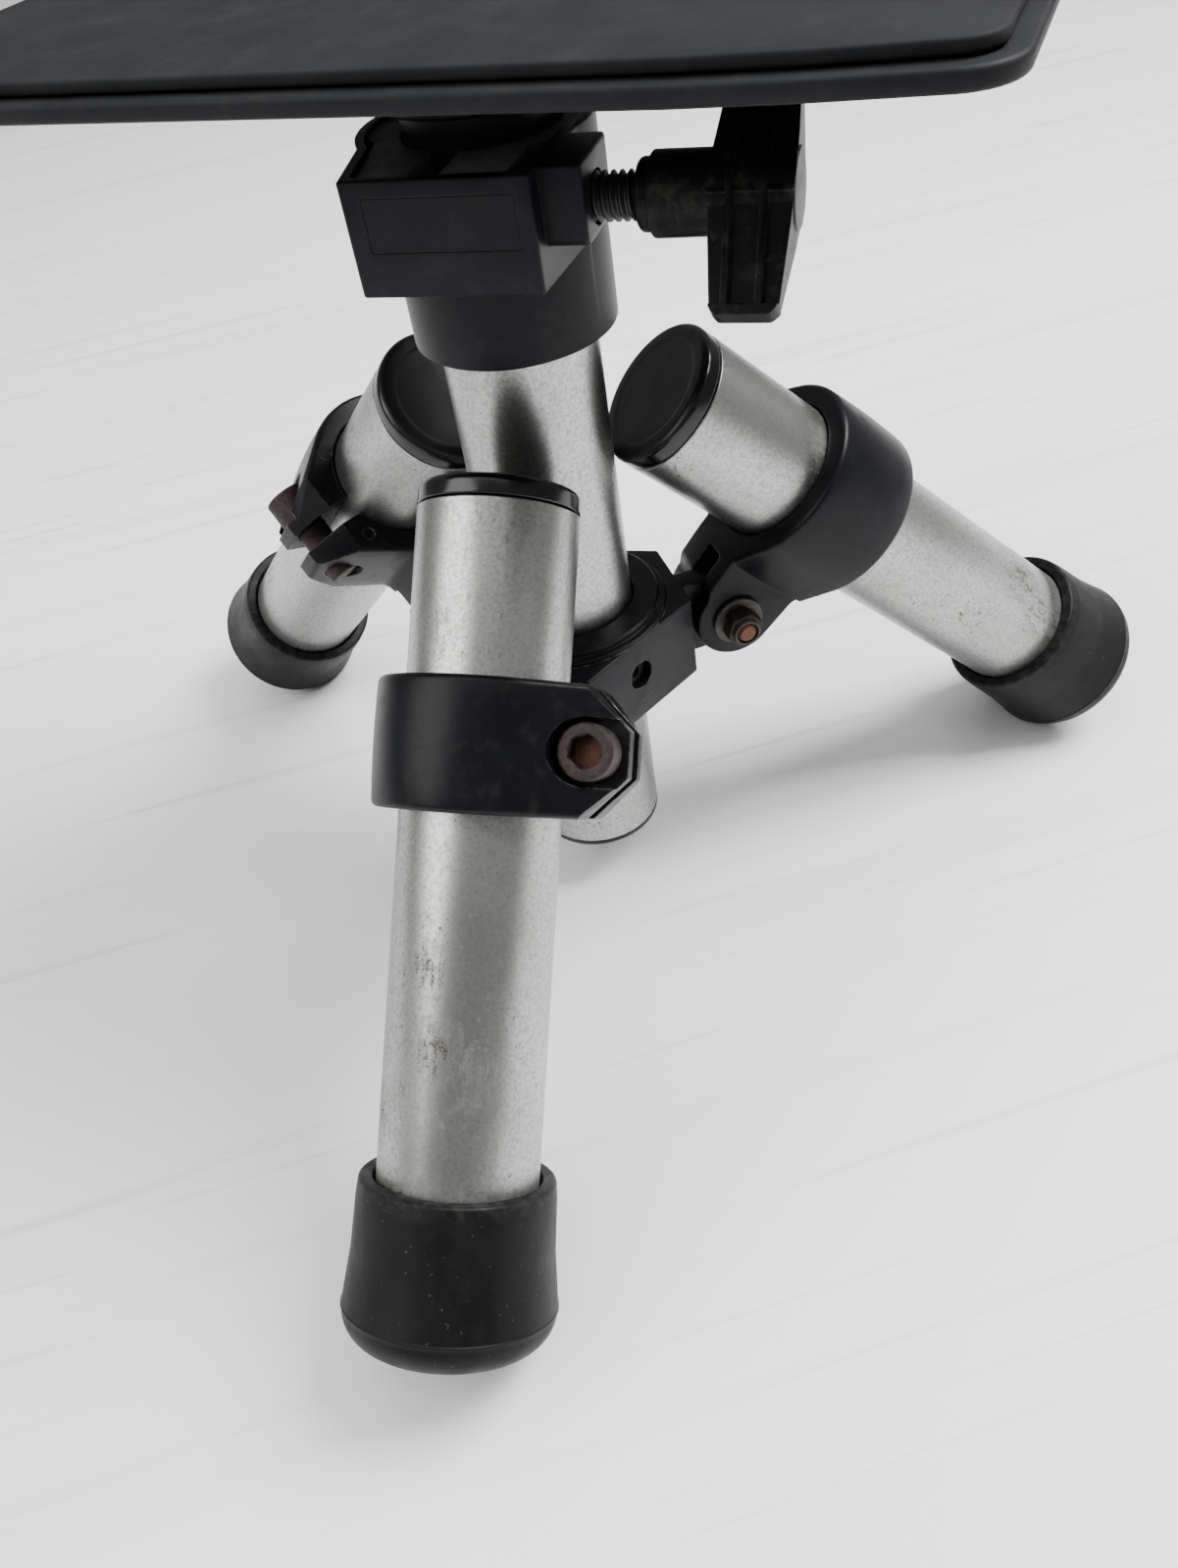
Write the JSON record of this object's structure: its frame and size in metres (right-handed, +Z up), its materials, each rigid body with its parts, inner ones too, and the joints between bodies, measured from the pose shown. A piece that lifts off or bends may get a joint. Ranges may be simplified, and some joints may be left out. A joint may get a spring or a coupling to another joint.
{
  "type": "speaker tripod stand",
  "caption": "Low folding tripod stand for a small loudspeaker: sliding tube legs in hinged split clamps on a three-arm hub, telescoping pole with screw clamp and flat speaker plate.",
  "frame": {"origin": "middle of the overall box at floor level, under the three feet", "axes": "+Z up to the speaker plate, -Y towards leg a and the blank front label, +X along the clamp screw's side"},
  "size_m": [0.2784, 0.247, 0.2106],
  "materials": {
    "satin_tube": "satin anodised, scratched and stained",
    "dark_tube": "smooth satin dark grey",
    "black_casting": "satin black paint",
    "moulded_black": "satin, faintly grained",
    "gloss_cap": "semi-gloss",
    "rubber": "matt moulded",
    "rusty_steel": "rusted zinc plate",
    "dull_steel": "dulled zinc plate",
    "black_steel": "black oxide",
    "grey_moulding": "matt, worn",
    "label": "satin, blank",
    "plate_paint": "fine texture paint",
    "mat_rubber": "matt ribbed",
    "nylon": "matt natural"
  },
  "bodies": {
    "stand": {"hub": "black_casting", "hub_set_screw_a": "black_steel", "hub_set_screw_b": "black_steel", "hub_set_screw_c": "black_steel", "column_tube": "satin_tube", "column_end_plug": "gloss_cap", "clamp_housing": "moulded_black", "label_plate": "label", "clamp_split_ring": "grey_moulding"},
    "leg_a_fork": {"leg_a_bracket": "black_casting", "leg_a_clamp_bolt": "rusty_steel", "leg_a_hinge_bolt": "dull_steel", "leg_a_hinge_nut": "dull_steel", "leg_a_washer_near": "dull_steel", "leg_a_washer_far": "dull_steel"},
    "leg_a_slider": {"leg_a_tube": "satin_tube", "leg_a_cap": "gloss_cap", "leg_a_foot": "rubber"},
    "leg_b_fork": {"leg_b_bracket": "black_casting", "leg_b_clamp_bolt": "rusty_steel", "leg_b_hinge_bolt": "dull_steel", "leg_b_hinge_nut": "dull_steel", "leg_b_washer_near": "dull_steel", "leg_b_washer_far": "dull_steel"},
    "leg_b_slider": {"leg_b_tube": "satin_tube", "leg_b_cap": "gloss_cap", "leg_b_foot": "rubber"},
    "leg_c_fork": {"leg_c_bracket": "black_casting", "leg_c_clamp_bolt": "rusty_steel", "leg_c_hinge_bolt": "dull_steel", "leg_c_hinge_nut": "dull_steel", "leg_c_washer_near": "dull_steel", "leg_c_washer_far": "dull_steel"},
    "leg_c_slider": {"leg_c_tube": "satin_tube", "leg_c_cap": "gloss_cap", "leg_c_foot": "rubber"},
    "pad": {"clamp_pad": "nylon"},
    "knob": {"clamp_screw": "black_steel", "clamp_knob": "moulded_black"},
    "pole": {"pole_tube": "dark_tube", "pole_guide_bush": "nylon"},
    "head": {"head_socket": "moulded_black", "head_set_screw": "black_steel", "speaker_plate": "plate_paint", "plate_mat": "mat_rubber", "plate_screw_1": "black_steel", "plate_screw_2": "black_steel", "plate_screw_3": "black_steel", "plate_screw_4": "black_steel"}
  },
  "joints": [
    {"name": "leg_a_fold", "type": "hinge", "parent": "stand", "child": "leg_a_fork", "pos_m": [0, -0.00605, 0.07074], "axis": [1, 0, 0], "range_deg": [0, 45]},
    {"name": "leg_b_fold", "type": "hinge", "parent": "stand", "child": "leg_b_fork", "pos_m": [0.03408, 0.05298, 0.07074], "axis": [-0.5, 0.866, 0], "range_deg": [0, 45]},
    {"name": "leg_c_fold", "type": "hinge", "parent": "stand", "child": "leg_c_fork", "pos_m": [-0.03408, 0.05298, 0.07074], "axis": [-0.5, -0.866, 0], "range_deg": [0, 45]},
    {"name": "leg_a_slide", "type": "slide", "parent": "leg_a_fork", "child": "leg_a_slider", "axis": [0, -0.7102, -0.704], "range_m": [0, 0.03]},
    {"name": "leg_b_slide", "type": "slide", "parent": "leg_b_fork", "child": "leg_b_slider", "axis": [0.615, 0.3551, -0.704], "range_m": [0, 0.03]},
    {"name": "leg_c_slide", "type": "slide", "parent": "leg_c_fork", "child": "leg_c_slider", "axis": [-0.615, 0.3551, -0.704], "range_m": [0, 0.03]},
    {"name": "pole_slide", "type": "slide", "parent": "stand", "child": "pole", "axis": [0, 0, 1], "range_m": [0, 0.1]},
    {"name": "head_swivel", "type": "hinge", "parent": "pole", "child": "head", "pos_m": [0, 0.0333, 0.19904], "axis": [0, 0, 1], "range_deg": [-180, 180]},
    {"name": "clamp_feed", "type": "slide", "parent": "stand", "child": "pad", "axis": [0.9986, -0.0523, 0], "range_m": [0, 0.00375]},
    {"name": "clamp_knob_turn", "type": "hinge", "parent": "pad", "child": "knob", "pos_m": [0.02902, 0.01375, 0.18054], "axis": [0.9986, -0.0523, 0], "range_deg": [0, 900]}
  ],
  "couplings": [
    {"joint": "clamp_feed", "follows": "clamp_knob_turn", "m_per_rad": 0.00023873}
  ]
}
